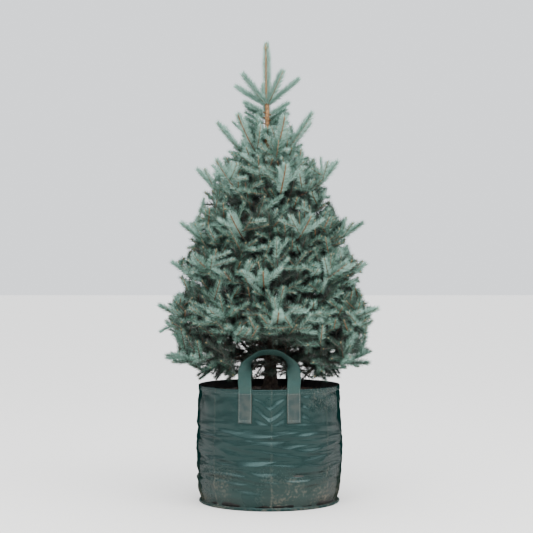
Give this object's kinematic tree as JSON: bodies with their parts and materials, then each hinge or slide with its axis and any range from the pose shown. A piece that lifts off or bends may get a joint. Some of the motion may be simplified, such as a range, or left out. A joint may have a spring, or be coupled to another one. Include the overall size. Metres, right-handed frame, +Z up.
{
  "type": "potted blue spruce",
  "caption": "Young blue spruce with a dense cone of tiered boughs, growing in a round woven planter bag that has a webbing lifting handle on each side.",
  "frame": {"origin": "centre of the flat underside of the planter bag, on the ground", "axes": "+Z up along the trunk, -Y to the front, where one handle faces the viewer, +X to the right"},
  "size_m": [0.744, 0.7695, 1.577],
  "materials": {
    "bag": "woven plastic cloth, coated and glossy, creased",
    "webbing": "woven plastic webbing, worn and dusty at the sewn ends",
    "soil": "damp potting mix with bark chips",
    "bark": "rough scaly bark",
    "needles": "waxy blue green needles"
  },
  "bodies": {
    "root": {"handle_back": "webbing", "handle_front": "webbing", "leader_needles": "needles", "middle_stem_needles": "needles", "planter_bag": "bag", "potting_soil": "soil", "tier1_needles_112": "needles", "tier1_needles_188": "needles", "tier1_needles_232": "needles", "tier1_needles_292": "needles", "tier1_needles_338": "needles", "tier1_needles_38": "needles", "tier2_needles_106": "needles", "tier2_needles_178": "needles", "tier2_needles_226": "needles", "tier2_needles_284": "needles", "tier2_needles_346": "needles", "tier2_needles_42": "needles", "tier3_needles_118": "needles", "tier3_needles_194": "needles", "tier3_needles_246": "needles", "tier3_needles_296": "needles", "tier3_needles_346": "needles", "tier3_needles_46": "needles", "tier4_needles_170": "needles", "tier4_needles_22": "needles", "tier4_needles_222": "needles", "tier4_needles_264": "needles", "tier4_needles_316": "needles", "tier4_needles_96": "needles", "tier5_bough_116": "bark", "tier5_bough_190": "bark", "tier5_bough_238": "bark", "tier5_bough_276": "bark", "tier5_bough_334": "bark", "tier5_bough_40": "bark", "tier5_needles_116": "needles", "tier5_needles_190": "needles", "tier5_needles_238": "needles", "tier5_needles_276": "needles", "tier5_needles_334": "needles", "tier5_needles_40": "needles", "tier6_bough_142": "bark", "tier6_bough_170": "bark", "tier6_bough_212": "bark", "tier6_bough_330": "bark", "tier6_bough_48": "bark", "tier6_bough_8": "bark", "tier6_needles_142": "needles", "tier6_needles_170": "needles", "tier6_needles_212": "needles", "tier6_needles_330": "needles", "tier6_needles_48": "needles", "tier6_needles_8": "needles", "trunk": "bark", "upper_stem_needles": "needles"}
  },
  "joints": []
}
